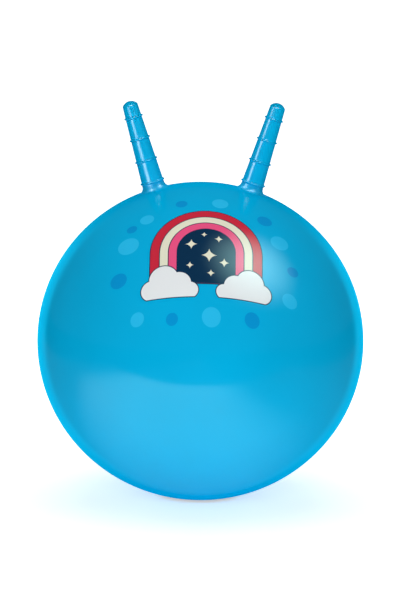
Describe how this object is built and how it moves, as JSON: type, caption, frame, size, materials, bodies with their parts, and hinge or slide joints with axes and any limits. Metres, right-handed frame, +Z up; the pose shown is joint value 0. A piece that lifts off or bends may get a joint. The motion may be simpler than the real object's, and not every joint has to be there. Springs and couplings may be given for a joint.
{
  "type": "hopper ball",
  "caption": "Inflated hopper ball to sit and bounce on, with a ribbed hollow horn on each side of its crown to hold, a flat resting patch and a push-in air valve.",
  "frame": {"origin": "centre of the flat patch that the ball rests on, at the ground", "axes": "+Z up, +X towards the right-hand horn as the print faces the viewer, -Y the printed front, valve at the back"},
  "size_m": [0.45, 0.45, 0.5479],
  "materials": {
    "skin": "glossy soft PVC, light blue",
    "valve_seat": "satin soft PVC, light blue",
    "valve_plug": "satin white"
  },
  "bodies": {
    "ball": {"ball_skin": "skin", "valve_seat": "valve_seat"},
    "left_root": {"left_root_ring": "skin"},
    "left_horn": {"left_horn": "skin"},
    "right_root": {"right_root_ring": "skin"},
    "right_horn": {"right_horn": "skin"},
    "plug": {"valve_plug": "valve_plug"}
  },
  "joints": [
    {"name": "left_fore_aft", "type": "hinge", "parent": "ball", "child": "left_root", "pos_m": [-0.06639, 0, 0.42879], "axis": [1, 0, 0], "range_deg": [-25, 25], "stiffness_Nm_per_rad": 4.5},
    {"name": "left_sideways", "type": "hinge", "parent": "left_root", "child": "left_horn", "pos_m": [-0.0699, 0, 0.44027], "axis": [0, 1, 0], "range_deg": [-20, 20], "stiffness_Nm_per_rad": 4.5},
    {"name": "right_fore_aft", "type": "hinge", "parent": "ball", "child": "right_root", "pos_m": [0.06639, 0, 0.42879], "axis": [1, 0, 0], "range_deg": [-25, 25], "stiffness_Nm_per_rad": 4.5},
    {"name": "right_sideways", "type": "hinge", "parent": "right_root", "child": "right_horn", "pos_m": [0.0699, 0, 0.44027], "axis": [0, 1, 0], "range_deg": [-20, 20], "stiffness_Nm_per_rad": 4.5},
    {"name": "plug_pull", "type": "slide", "parent": "ball", "child": "plug", "axis": [0, 0.9063, -0.4226], "range_m": [0, 0.025]}
  ]
}
